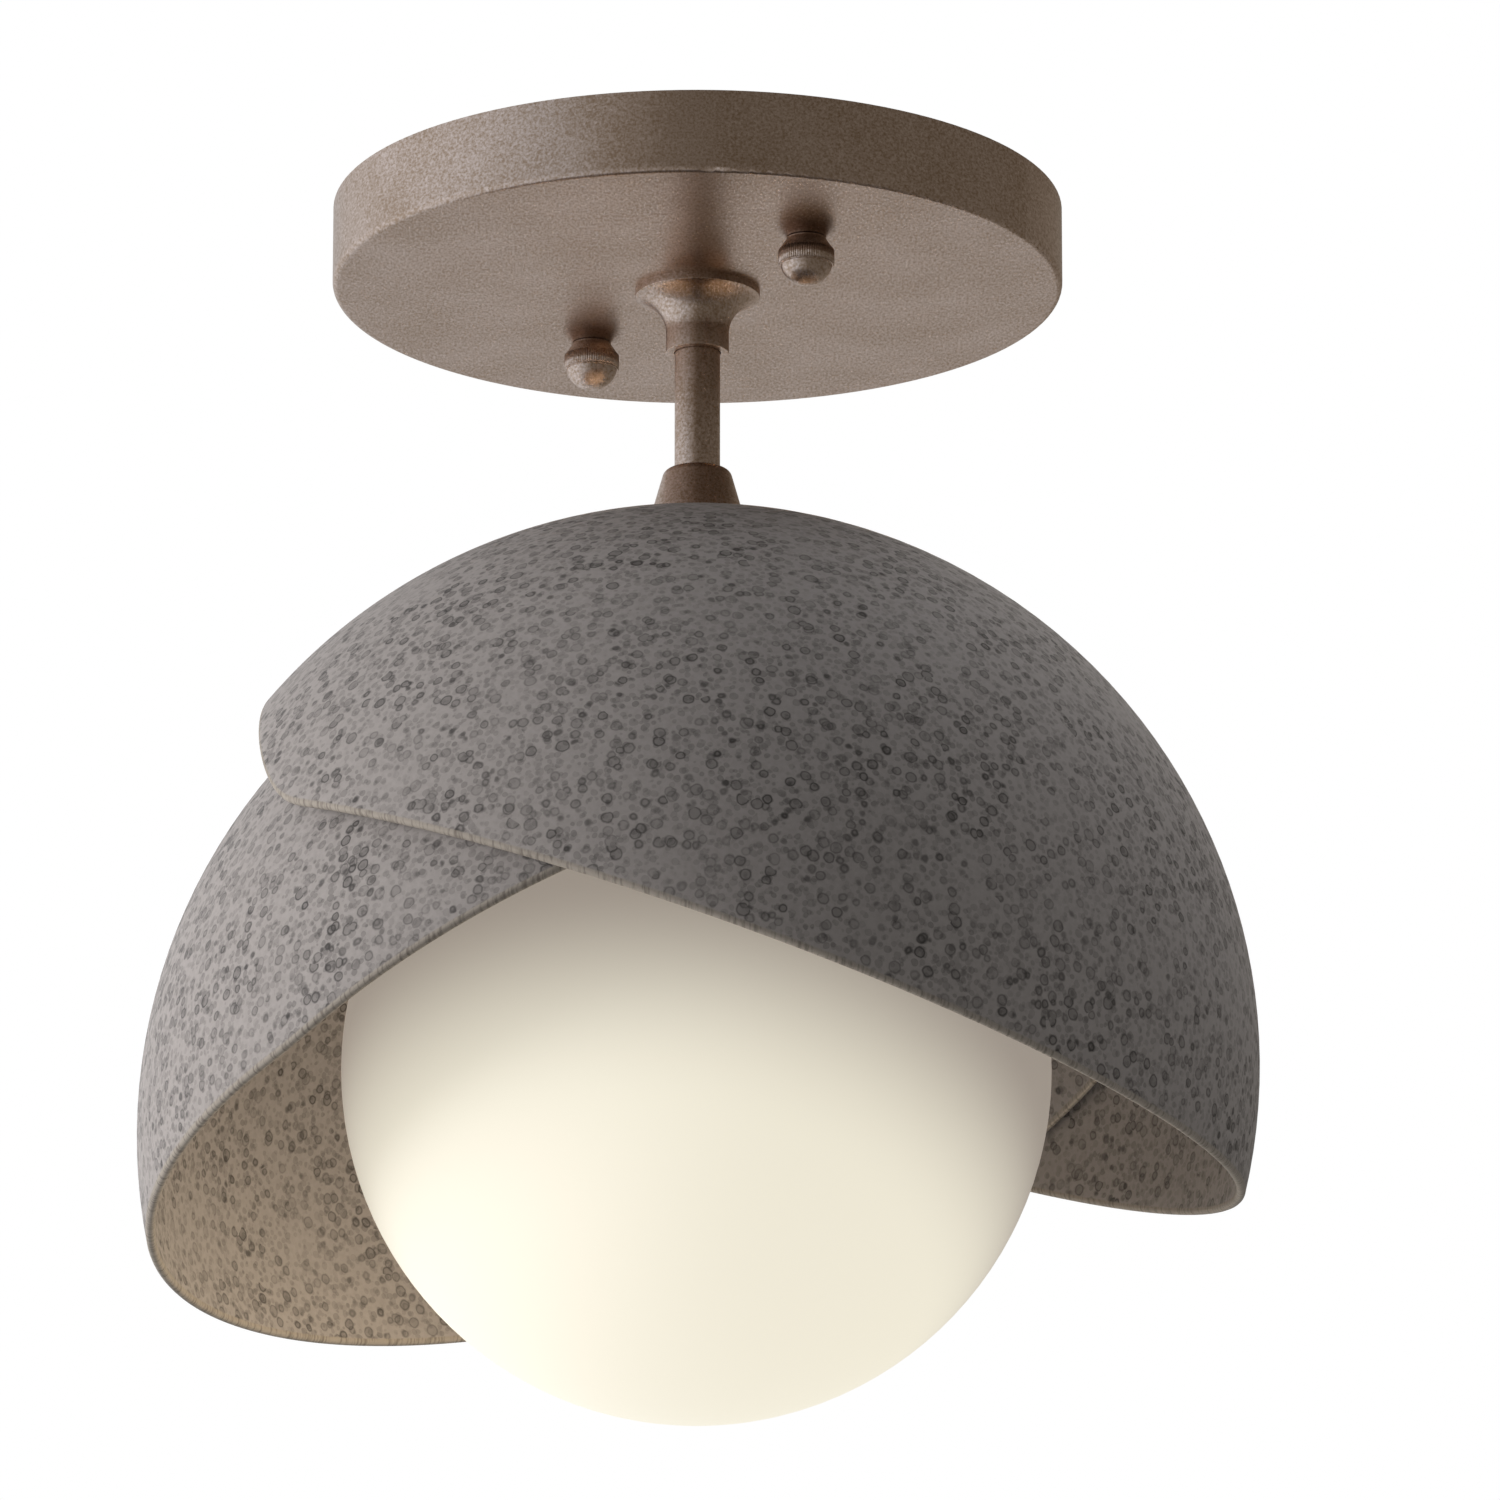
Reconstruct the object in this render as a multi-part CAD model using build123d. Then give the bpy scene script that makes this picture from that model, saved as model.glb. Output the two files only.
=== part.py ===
# Semi flush ceiling light: a canopy, a short stem, two overlapping bowl shades and an opal globe.
#
# Sizes are millimetres and +Z is up. The origin is the middle of the ceiling plane, so the light
# hangs to -Z. The outer shade hangs lowest near +X, the inner shade near -X, and -Y is the front.
# A heading is an angle about +Z, counted from +X.

import os
from math import cos, pi, radians, sin, sqrt, tan

from build123d import *

# ------------------------------------------------------------------ driving sizes

# Clearances
slip = 0.1             # radial room of a bore that slides over its tube or stud
turning_fit = 0.06     # radial room of the swivel bar on the eyelet
face_gap = 0.3         # room between faces of pieces that turn or come apart

# Crossbar on the ceiling box
bar_width = 19.0
bar_thickness = 1.6
box_bar_length = 106.0
slot_centres = 79.5    # between the middles of the two slots
slot_length = 14.0
slot_width = 4.6
eyelet_radius = 5.0
eyelet_bore = 5.5      # passes the leads
eyelet_flange_radius = 8.0
eyelet_flange_thickness = 0.8
ground_screw_place = 22.0
ground_screw_radius = 2.0
ground_head_radius = 4.0
ground_head_height = 2.6
ground_head_edge = 0.6
driver_slot_width = 1.0
driver_slot_depth = 1.2

# Swivel bar and the studs that carry the canopy
stud_heading = -57.0
stud_spacing = 78.2
stud_diameter = 4.0
stud_reach = 6.6       # below the face of the canopy
stud_chamfer = 0.5
stud_nut_width = 7.0
stud_nut_height = 3.2
swivel_bar_end = 8.0   # bar past the middle of each stud

# Canopy
canopy_diameter = 145.0
canopy_height = 16.5
canopy_wall = 1.5
canopy_edge = 1.2      # rounding of the lower edge
stud_hole_diameter = 5.0

# Knurled ball nuts under the canopy
ball_neck_radius = 4.1
ball_neck_height = 0.6
ball_flare_height = 1.4
knurl_radius = 5.5
knurl_depth = 0.22
knurl_height = 3.0
knurl_count = 72
ball_lip_height = 0.35
ball_radius = 5.2
ball_sink = 1.1        # middle of the ball above the lip
ball_bore_room = 0.9   # bore past the end of the stud

# Stem and its collar
stem_diameter = 9.0
stem_bore = 5.4        # passes the leads
stem_exposed = 24.4    # bare tube between the collar and the cone
stem_thread_proud = 1.7
collar_height = 13.0
collar_flange_radius = 12.4
collar_flange_edge = 1.4
collar_neck_radius = 6.25
collar_neck_height = 5.2
collar_flare_radius = 5.0
lock_washer_radius = 8.5
lock_washer_thickness = 0.8
stem_nut_width = 14.0
stem_nut_height = 3.5
nut_corner_slope = 30.0

# Cone on top of the outer shade
cone_height = 12.0     # over the crown of the shade
cone_top_radius = 6.5
cone_bottom_radius = 9.9
cone_shoulder = 1.8

# Shades: hollow balls, open below an oblique rim
outer_shade_radius = 109.6
shade_difference = 1.0  # radius of the outer ball over the inner one's
shade_wall = 1.8
shade_edge = 0.75      # rounding of both rim edges
spacer_height = 13.4   # between the shades, on the axis
spacer_radius = 8.0

# A rim in its own side view: how high it passes over the middle of the ball, its slope, and its
# bends on the way to the high end as (distance from the axis, new slope, rounding). The view looks
# across the heading of the low end, and is rolled about the line to that end.
outer_rim = {"heading": -15.4, "roll": 0.0, "height": 12.0, "slope": 20.5,
             "bends": [(-59.0, 57.5, 9.0), (-68.5, 70.0, 30.0)]}
inner_rim = {"heading": 139.0, "roll": -5.1, "height": 9.7, "slope": 18.0,
             "bends": [(8.0, 25.2, 150.0), (-59.0, 57.5, 9.0), (-68.5, 70.0, 30.0)]}

# Cup that takes the neck of the globe
seat_radius = 10.0
seat_height = 5.6      # distance ring under the inner shade, on the axis
holder_wall = 1.5
holder_depth = 17.0
holder_edge = 1.2
gasket_thickness = 1.6
neck_room = 0.4        # radial room between the neck and the cup
vent_count = 6
vent_radius = 2.0
vent_place = 21.0

# Globe
globe_diameter = 138.3
globe_drop = 24.4      # from the underside of the inner shade to the top of the ball
glass_wall = 3.0
neck_diameter = 58.0

# Socket
socket_radius = 16.5
socket_height = 35.0
socket_boss_radius = 11.0
socket_boss_height = 3.5
socket_shoulder = 4.0
socket_top_wall = 6.0
socket_bore_radius = 14.0
socket_lip_radius = 18.0
socket_lip_height = 4.0
socket_shell_wall = 0.45
socket_shell_height = 22.0
contact_width = 5.0
contact_thickness = 0.5
contact_foot = 4.5
contact_height = 2.6

# Bulb
bulb_diameter = 45.0
bulb_base_radius = 13.1
bulb_base_height = 23.0
bulb_tip_radius = 4.6
bulb_tip_height = 1.6
bulb_insulator_height = 2.4
bulb_housing_height = 15.0
bulb_housing_radius = 20.5
bulb_glass_drop = 8.0  # from the housing to the middle of the glass ball
bulb_wall = 1.5
housing_flare = 0.2    # outward lean of the housing at its lower edge

# ------------------------------------------------------------------ levels, from the ceiling down

swivel_top = -bar_thickness - face_gap
swivel_bottom = swivel_top - bar_thickness
canopy_face = -canopy_height
canopy_floor = canopy_face + canopy_wall
stud_end = canopy_face - stud_reach
top_nut_bottom = canopy_floor + lock_washer_thickness
top_nut_top = top_nut_bottom + stem_nut_height
stem_top = top_nut_top + stem_thread_proud
collar_bottom = canopy_face - collar_height
cone_top = collar_bottom - stem_exposed
outer_crown = cone_top - cone_height
outer_centre = outer_crown - outer_shade_radius
inner_shade_radius = outer_shade_radius - shade_difference
inner_crown = outer_crown - shade_wall - spacer_height
inner_centre = inner_crown - inner_shade_radius
inner_underside = inner_crown - shade_wall
holder_top = inner_underside - seat_height
holder_ceiling = holder_top - holder_wall
low_nut_top = holder_ceiling - lock_washer_thickness
low_nut_bottom = low_nut_top - stem_nut_height
socket_top = low_nut_bottom
socket_ceiling = socket_top - socket_top_wall
stem_bottom = socket_ceiling
socket_bottom = socket_top - socket_height
bulb_top = socket_ceiling - contact_height - face_gap
base_top = bulb_top - bulb_tip_height - bulb_insulator_height
base_bottom = base_top - bulb_base_height
housing_bottom = base_bottom - bulb_housing_height
bulb_centre = housing_bottom - bulb_glass_drop
globe_radius = globe_diameter / 2
globe_centre = inner_underside - globe_drop - globe_radius
neck_top = holder_ceiling - gasket_thickness - face_gap

stem_radius = stem_diameter / 2
stem_hole = stem_radius + slip
stud_radius = stud_diameter / 2
neck_radius = neck_diameter / 2
holder_bore = neck_radius + neck_room


# ------------------------------------------------------------------ tools

def at(out, height):
    # A point of a side view.
    return (out, 0, height)


def closed_face(*lines):
    return make_face(Wire([edge for line in lines for edge in line.edges()]))


def turned(*lines):
    # The solid that a closed side view sweeps about the axis.
    return revolve(closed_face(*lines), Axis.Z)


def outline(*points):
    return Polyline(*points, close=True)


def rod(radius, top, bottom):
    return Pos(0, 0, (top + bottom) / 2) * Cylinder(radius, top - bottom)


def ring(outer, inner, top, bottom):
    return rod(outer, top, bottom) - rod(inner, top, bottom)


def ball(radius, centre):
    return Pos(0, 0, centre) * Sphere(radius)


def hex_nut(width, hole, top, bottom):
    # A nut whose corners are turned off at both ends.
    flat = width / 2
    corner = width / sqrt(3)
    fall = (corner - flat) * tan(radians(nut_corner_slope))
    blank = extrude(RegularPolygon(flat, 6, major_radius=False), top - bottom)
    turned_blank = turned(outline(at(0, bottom), at(flat, bottom), at(corner, bottom + fall),
                                  at(corner, top - fall), at(flat, top), at(0, top)))
    return (Pos(0, 0, bottom) * blank & turned_blank) - rod(hole, top, bottom)


def at_stud(piece, turn):
    # A piece that was made on the axis, put on the front stud (turn 0) or the rear one (180).
    return Rot(0, 0, stud_heading + turn) * Pos(stud_spacing / 2, 0, 0) * piece


# ------------------------------------------------------------------ crossbar

def flat_bar(length, top):
    return Pos(0, 0, top - bar_thickness) * extrude(SlotOverall(length, bar_width), bar_thickness)


def box_strap():
    bar = flat_bar(box_bar_length, 0) - rod(eyelet_radius, 0, -bar_thickness)
    bar -= Pos(ground_screw_place, 0, 0) * rod(ground_screw_radius, 0, -bar_thickness)
    for side in (-1, 1):
        slot = extrude(SlotOverall(slot_length, slot_width), -bar_thickness)
        bar -= Pos(side * slot_centres / 2, 0, 0) * slot
    return bar


def strap_eyelet():
    flange_top = swivel_bottom - face_gap
    flange_bottom = flange_top - eyelet_flange_thickness
    shank = ring(eyelet_radius, eyelet_bore / 2, 0, flange_bottom)
    return shank + ring(eyelet_flange_radius, eyelet_bore / 2, flange_top, flange_bottom)


def ground_screw():
    # The head hangs below the bar and its driver slot faces down.
    head_bottom = -bar_thickness - ground_head_height
    head = rod(ground_head_radius, -bar_thickness, head_bottom)
    head = fillet(head.edges().sort_by(Axis.Z)[0], ground_head_edge)
    slot = Pos(0, 0, head_bottom) * Box(
        2 * ground_head_radius, driver_slot_width, 2 * driver_slot_depth)
    return Pos(ground_screw_place, 0, 0) * (
        rod(ground_screw_radius, 0, -bar_thickness) + head - slot)


def swivel_strap():
    bar = flat_bar(stud_spacing + 2 * swivel_bar_end, swivel_top)
    bar = Rot(0, 0, stud_heading) * bar
    bar -= rod(eyelet_radius + turning_fit, swivel_top, swivel_bottom)
    for turn in (0, 180):
        bar -= at_stud(rod(stud_radius, swivel_top, swivel_bottom), turn)
    return bar


def stud():
    body = rod(stud_radius, swivel_top, stud_end)
    return chamfer(body.edges().sort_by(Axis.Z)[0], stud_chamfer)


def stud_nut():
    return hex_nut(stud_nut_width, stud_radius, swivel_bottom, swivel_bottom - stud_nut_height)


# ------------------------------------------------------------------ canopy and its ball nuts

def canopy():
    radius = canopy_diameter / 2
    cup = rod(radius, 0, canopy_face)
    cup = fillet(cup.edges().sort_by(Axis.Z)[0], canopy_edge)
    cup -= rod(radius - canopy_wall, 0, canopy_floor)
    cup -= rod(stem_hole, canopy_floor, canopy_face)
    for turn in (0, 180):
        cup -= at_stud(rod(stud_hole_diameter / 2, canopy_floor, canopy_face), turn)
    return cup


def cap_nut():
    # A narrow neck, a flare, a straight knurl, a plain lip and a ball end, with a blind bore.
    top = canopy_face - face_gap
    neck_end = top - ball_neck_height
    knurl_top = neck_end - ball_flare_height
    knurl_bottom = knurl_top - knurl_height
    lip_bottom = knurl_bottom - ball_lip_height
    ball_middle = lip_bottom + ball_sink
    ball_out = sqrt(ball_radius ** 2 - ball_sink ** 2)
    root_radius = knurl_radius - knurl_depth
    body = turned(
        Polyline(at(0, ball_middle - ball_radius), at(0, top), at(ball_neck_radius, top),
                 at(ball_neck_radius, neck_end), at(root_radius, knurl_top),
                 at(root_radius, lip_bottom), at(ball_out, lip_bottom)),
        ThreePointArc(at(ball_out, lip_bottom),
                      at(ball_radius * cos(pi / 4), ball_middle - ball_radius * sin(pi / 4)),
                      at(0, ball_middle - ball_radius)))
    teeth = []
    for step in range(2 * knurl_count):
        angle = pi * step / knurl_count
        radius = root_radius if step % 2 else knurl_radius
        teeth.append((radius * cos(angle), radius * sin(angle)))
    body += Pos(0, 0, knurl_bottom) * extrude(make_face(outline(*teeth)), knurl_height)
    return body - rod(stud_radius + slip, top, stud_end - ball_bore_room)


# ------------------------------------------------------------------ stem

def stem_collar():
    # A thin edged flange against the canopy that sweeps in to a straight neck.
    edge_bottom = canopy_face - collar_flange_edge
    flare_end = collar_bottom + collar_neck_height
    flare_out = collar_neck_radius + collar_flare_radius
    flare_top = flare_end + collar_flare_radius
    inward = collar_flare_radius * cos(pi / 4)
    return turned(
        Polyline(at(collar_neck_radius, flare_end), at(collar_neck_radius, collar_bottom),
                 at(stem_hole, collar_bottom), at(stem_hole, canopy_face),
                 at(collar_flange_radius, canopy_face), at(collar_flange_radius, edge_bottom),
                 at(flare_out, flare_top)),
        ThreePointArc(at(flare_out, flare_top),
                      at(flare_out - inward, flare_end + inward),
                      at(collar_neck_radius, flare_end)))


def stem_tube():
    return ring(stem_radius, stem_bore / 2, stem_top, stem_bottom)


def cone_cap():
    # Its hollow underside seats on the crown of the outer shade.
    body = turned(outline(
        at(stem_hole, cone_top), at(cone_top_radius, cone_top),
        at(cone_bottom_radius, outer_crown),
        at(cone_bottom_radius, outer_crown - shade_wall), at(stem_hole, outer_crown - shade_wall)))
    shoulder = body.edges().filter_by(GeomType.CIRCLE).group_by(Axis.Z)[-1].sort_by(
        SortBy.RADIUS)[-1]
    return fillet(shoulder, cone_shoulder) - ball(outer_shade_radius, outer_centre)


# ------------------------------------------------------------------ shades

def below_rim(rim, reach):
    # The block that is cut away under a rim, for a ball about the origin.
    out = 0
    height = rim["height"]
    slope = rim["slope"]
    points = [at(reach, height - tan(radians(slope)) * reach)]
    roundings = []
    for place, new_slope, rounding in rim["bends"]:
        height += tan(radians(slope)) * (out - place)
        points.append(at(place, height))
        roundings.append(rounding)
        out = place
        slope = new_slope
    points.append(at(-reach, height + tan(radians(slope)) * (reach + out)))
    edge = FilletPolyline(*points, radius=roundings)
    back = Polyline(points[-1], at(-reach, -reach), at(reach, -reach), points[0])
    block = extrude(closed_face(edge, back), reach, both=True)
    return Rot(0, 0, rim["heading"]) * Rot(rim["roll"], 0, 0) * block


def shade(radius, centre, rim):
    shell = Sphere(radius) - Sphere(radius - shade_wall) - below_rim(rim, 2 * radius)
    rim_faces = shell.faces().filter_by(GeomType.SPHERE, reverse=True)
    rim_edges = [edge for edge in rim_faces.edges() if edge.length > 2 * shade_wall]
    shell = fillet(rim_edges, shade_edge)
    return Pos(0, 0, centre) * shell - rod(stem_hole, centre + radius, centre)


def shade_spacer():
    # A tube whose ends follow the shades above and below it.
    tube = ring(spacer_radius, stem_hole, outer_crown, inner_crown - shade_wall)
    return (tube & ball(outer_shade_radius - shade_wall, outer_centre)) - ball(
        inner_shade_radius, inner_centre)


# ------------------------------------------------------------------ globe and its holder

def holder_seat():
    return ring(seat_radius, stem_hole, inner_crown, holder_top) & ball(
        inner_shade_radius - shade_wall, inner_centre)


def globe_holder():
    bottom = holder_top - holder_depth
    cup = rod(holder_bore + holder_wall, holder_top, bottom)
    cup = fillet(cup.edges().sort_by(Axis.Z)[-1], holder_edge)
    cup -= rod(holder_bore, holder_ceiling, bottom)
    cup -= rod(stem_hole, holder_top, holder_ceiling)
    for count in range(vent_count):
        vent = Pos(vent_place, 0, 0) * rod(vent_radius, holder_top, holder_ceiling)
        cup -= Rot(0, 0, 360 * count / vent_count) * vent
    return cup


def globe_gasket():
    return ring(neck_radius, neck_radius - glass_wall, holder_ceiling,
                holder_ceiling - gasket_thickness)


def globe_glass():
    # One turned wall: neck, ball, and the same again inside.
    neck_bore = neck_radius - glass_wall
    inner = globe_radius - glass_wall
    neck_root = globe_centre + sqrt(globe_radius ** 2 - neck_radius ** 2)
    bore_root = globe_centre + sqrt(inner ** 2 - neck_bore ** 2)
    return turned(
        Polyline(at(neck_bore, bore_root), at(neck_bore, neck_top), at(neck_radius, neck_top),
                 at(neck_radius, neck_root)),
        ThreePointArc(at(neck_radius, neck_root), at(globe_radius, globe_centre),
                      at(0, globe_centre - globe_radius)),
        Line(at(0, globe_centre - globe_radius), at(0, globe_centre - inner)),
        ThreePointArc(at(0, globe_centre - inner), at(inner, globe_centre),
                      at(neck_bore, bore_root)))


# ------------------------------------------------------------------ socket and bulb

def socket_body():
    boss_bottom = socket_top - socket_boss_height
    shoulder_bottom = boss_bottom - socket_shoulder
    lip_top = socket_bottom + socket_lip_height
    return turned(outline(
        at(stem_hole, socket_top), at(socket_boss_radius, socket_top),
        at(socket_boss_radius, boss_bottom), at(socket_radius, shoulder_bottom),
        at(socket_radius, lip_top), at(socket_lip_radius, lip_top),
        at(socket_lip_radius, socket_bottom), at(socket_bore_radius, socket_bottom),
        at(socket_bore_radius, socket_ceiling), at(stem_hole, socket_ceiling)))


def socket_shell():
    return ring(socket_bore_radius, socket_bore_radius - socket_shell_wall,
                base_top, base_top - socket_shell_height)


def socket_contact():
    # A bent spring leaf: its foot lies on the ceiling of the socket, beside the mouth of the stem,
    # and its tongue hangs over the middle of the bore.
    foot_end = socket_bore_radius - socket_shell_wall
    foot_start = foot_end - contact_foot
    tongue_end = -contact_width / 2
    low = socket_ceiling - contact_height
    leaf = outline(
        at(foot_end, socket_ceiling), at(foot_start, socket_ceiling),
        at(-tongue_end, low + contact_thickness), at(tongue_end, low + contact_thickness),
        at(tongue_end, low), at(-tongue_end, low),
        at(foot_start, socket_ceiling - contact_thickness),
        at(foot_end, socket_ceiling - contact_thickness))
    return extrude(make_face(leaf), contact_width / 2, both=True)


def bulb_tip():
    # The centre contact and the dark insulator round it.
    tip_bottom = bulb_top - bulb_tip_height
    return turned(outline(
        at(0, bulb_top), at(bulb_tip_radius / 2, bulb_top), at(bulb_tip_radius, tip_bottom),
        at(bulb_base_radius, base_top), at(0, base_top)))


def bulb_base():
    return rod(bulb_base_radius, base_top, base_bottom)


def bulb_housing():
    return turned(
        Polyline(at(bulb_housing_radius, housing_bottom), at(0, housing_bottom),
                 at(0, base_bottom), at(bulb_base_radius, base_bottom)),
        Spline(at(bulb_base_radius, base_bottom), at(bulb_housing_radius, housing_bottom),
               tangents=[(0, 0, -1), (housing_flare, 0, -1)]))


def bulb_glass():
    radius = bulb_diameter / 2
    shell = ball(radius, bulb_centre) - ball(radius - bulb_wall, bulb_centre)
    return shell - rod(bulb_diameter, bulb_top, housing_bottom)


# ------------------------------------------------------------------ all pieces

pieces = {
    "box_strap": box_strap(),
    "strap_eyelet": strap_eyelet(),
    "ground_screw": ground_screw(),
    "swivel_strap": swivel_strap(),
    "canopy": canopy(),
    "stem_top_washer": ring(lock_washer_radius, stem_hole, top_nut_bottom, canopy_floor),
    "stem_top_nut": hex_nut(stem_nut_width, stem_radius, top_nut_top, top_nut_bottom),
    "stem_collar": stem_collar(),
    "stem_tube": stem_tube(),
    "cone_cap": cone_cap(),
    "outer_shade": shade(outer_shade_radius, outer_centre, outer_rim),
    "shade_spacer": shade_spacer(),
    "inner_shade": shade(inner_shade_radius, inner_centre, inner_rim),
    "holder_seat": holder_seat(),
    "globe_holder": globe_holder(),
    "globe_gasket": globe_gasket(),
    "stem_low_washer": ring(lock_washer_radius, stem_hole, holder_ceiling, low_nut_top),
    "stem_low_nut": hex_nut(stem_nut_width, stem_radius, low_nut_top, low_nut_bottom),
    "socket_body": socket_body(),
    "socket_shell": socket_shell(),
    "socket_contact": socket_contact(),
    "globe_glass": globe_glass(),
    "bulb_tip": bulb_tip(),
    "bulb_base": bulb_base(),
    "bulb_housing": bulb_housing(),
    "bulb_glass": bulb_glass(),
}
for place, turn in (("front", 0), ("rear", 180)):
    pieces["stud_" + place] = at_stud(stud(), turn)
    pieces["stud_nut_" + place] = at_stud(stud_nut(), turn)
    pieces["cap_nut_" + place] = at_stud(cap_nut(), turn)

os.makedirs("parts", exist_ok=True)
for name, piece in pieces.items():
    export_step(piece, f"parts/{name}.step")
    print(f"{name}: {len(piece.solids())} solid, {piece.volume / 1000:.2f} cm3")
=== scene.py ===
# Semi flush ceiling light: bronze canopy and stem, stone coated shades and an opal glass globe.
from math import asin, cos, pi, radians, sin, sqrt, tan

import bmesh
import bpy
from mathutils import Matrix, Vector


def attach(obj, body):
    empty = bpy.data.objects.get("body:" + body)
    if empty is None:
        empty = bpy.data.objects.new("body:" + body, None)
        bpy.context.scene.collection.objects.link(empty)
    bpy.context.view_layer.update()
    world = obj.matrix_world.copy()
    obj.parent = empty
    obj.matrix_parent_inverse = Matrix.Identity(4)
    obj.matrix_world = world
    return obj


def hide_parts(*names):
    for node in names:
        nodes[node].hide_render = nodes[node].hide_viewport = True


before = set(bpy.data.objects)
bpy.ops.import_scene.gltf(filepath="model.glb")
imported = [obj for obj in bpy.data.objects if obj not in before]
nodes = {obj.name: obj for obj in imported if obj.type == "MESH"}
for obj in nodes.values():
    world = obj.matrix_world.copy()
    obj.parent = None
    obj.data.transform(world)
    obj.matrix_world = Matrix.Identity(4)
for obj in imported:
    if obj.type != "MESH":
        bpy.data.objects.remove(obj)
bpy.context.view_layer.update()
mm = 0.001
print("frame loaded:", len(nodes), "nodes")


def linear(hexColour):
    # sRGB hex to the linear colour that sockets take
    parts = [int(hexColour[i:i + 2], 16) / 255 for i in (1, 3, 5)]
    return [p / 12.92 if p <= 0.04045 else ((p + 0.055) / 1.055) ** 2.4 for p in parts] + [1]


def add(tree, kind, values=None, **settings):
    # One node, its settings, and per socket either a value or a link
    made = tree.nodes.new(kind)
    for name, value in settings.items():
        setattr(made, name, value)
    for socket, value in (values or {}).items():
        if isinstance(value, bpy.types.Node):
            value = value.outputs[0]
        if isinstance(value, bpy.types.NodeSocket):
            tree.links.new(value, made.inputs[socket])
        else:
            made.inputs[socket].default_value = value
    return made


def newMaterial(name, sockets):
    # A Principled material; returns it with its tree, its shader and the piece's own place in mm
    material = bpy.data.materials.new(name)
    material.use_nodes = True
    tree = material.node_tree
    shader = tree.nodes["Principled BSDF"]
    for socket, value in sockets.items():
        shader.inputs[socket].default_value = value
    inMetres = add(tree, "ShaderNodeTexCoord").outputs["Object"]
    place = add(tree, "ShaderNodeMapping", {"Vector": inMetres, "Scale": [1 / mm] * 3})
    return material, tree, shader, place


def keep(name, mesh, body, material, replaced):
    # A finished mesh becomes a piece on a body, in place of a solid
    piece = bpy.data.objects.new(name, mesh)
    bpy.context.scene.collection.objects.link(piece)
    if not mesh.materials:
        mesh.materials.append(material)
    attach(piece, body)
    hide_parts(replaced)


def newTree(name, inputs):
    # A geometry tree with named inputs; returns the tree, its inputs and its output
    tree = bpy.data.node_groups.new(name, "GeometryNodeTree")
    kinds = {float: "NodeSocketFloat", int: "NodeSocketInt", None: "NodeSocketMaterial"}
    tree.interface.new_socket("Base", in_out="INPUT", socket_type="NodeSocketGeometry")
    for label, value in inputs.items():
        kind = kinds[type(value) if value is not None else None]
        socket = tree.interface.new_socket(label, in_out="INPUT", socket_type=kind)
        if value is not None:
            socket.default_value = value
    tree.interface.new_socket("Geometry", in_out="OUTPUT", socket_type="NodeSocketGeometry")
    return tree, tree.nodes.new("NodeGroupInput").outputs, tree.nodes.new("NodeGroupOutput")


def joinBase(tree, given, ridges, level, result):
    # The end of a ridge tree: lifts the ridges to their level and joins them to the base mesh
    raised = add(tree, "GeometryNodeTransform", {"Geometry": ridges, "Translation": level})
    smooth = add(tree, "GeometryNodeSetShadeSmooth", {"Geometry": raised, "Shade Smooth": True})
    joined = add(tree, "GeometryNodeJoinGeometry", {0: smooth})
    tree.links.new(given["Base"], joined.inputs[0])
    real = add(tree, "GeometryNodeRealizeInstances", {"Geometry": joined})
    last = add(tree, "GeometryNodeSetMaterial", {"Geometry": real,
                                                 "Material": given["Material"]})
    tree.links.new(last.outputs[0], result.inputs[0])


def grown(name, tree, sizes, mesh=None):
    # Runs a geometry tree on a mesh or on nothing, with sizes given by the names of its inputs,
    # and returns a plain mesh without the modifier
    seed = bpy.data.objects.new(name, mesh or bpy.data.meshes.new(name + "Seed"))
    bpy.context.scene.collection.objects.link(seed)
    modifier = seed.modifiers.new("shape", "NODES")
    modifier.node_group = tree
    sockets = {item.name: item.identifier for item in tree.interface.items_tree
               if item.item_type == "SOCKET" and item.in_out == "INPUT"}
    for label, value in sizes.items():
        modifier[sockets[label]] = value
    graph = bpy.context.evaluated_depsgraph_get()
    result = bpy.data.meshes.new_from_object(seed.evaluated_get(graph), depsgraph=graph)
    result.name = name
    bpy.data.objects.remove(seed)
    return result


turning = {"around": 96, "sharpAngle": 32}  # faces round a turned piece, and its crisp edges


def turnedMesh(name, profile, around=turning["around"]):
    # Sweeps a closed side view of (out, height) points in mm about the axis
    made = bmesh.new()
    rows = []
    for step in range(around):
        angle = 2 * pi * step / around
        rows.append([made.verts.new((out * mm * cos(angle), out * mm * sin(angle), height * mm))
                     for out, height in profile])
    for step in range(around):
        here, there = rows[step], rows[(step + 1) % around]
        for i in range(len(profile)):
            j = (i + 1) % len(profile)
            if profile[i][0] > 0 or profile[j][0] > 0:
                made.faces.new((here[i], there[i], there[j], here[j]))
    bmesh.ops.remove_doubles(made, verts=made.verts, dist=mm / 1000)
    bmesh.ops.recalc_face_normals(made, faces=made.faces)
    for face in made.faces:
        face.smooth = True
    mesh = bpy.data.meshes.new(name)
    made.to_mesh(mesh)
    made.free()
    mesh.set_sharp_from_angle(angle=radians(turning["sharpAngle"]))
    return mesh


def rounded(corners, steps=5):
    # A side view whose corners (out, height, rounding) become short arcs
    points = []
    for i, (out, height, size) in enumerate(corners):
        here = Vector((out, height))
        back = (Vector(corners[i - 1][:2]) - here).normalized()
        on = (Vector(corners[(i + 1) % len(corners)][:2]) - here).normalized()
        if not size:
            points.append((out, height))
            continue
        half = back.angle(on) / 2
        centre = here + (back + on).normalized() * size / sin(half)
        first = here + back * size / tan(half) - centre
        last = here + on * size / tan(half) - centre
        for step in range(steps + 1):
            point = centre + first.slerp(last, step / steps).normalized() * size
            points.append((point.x, point.y))
    return points


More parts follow.
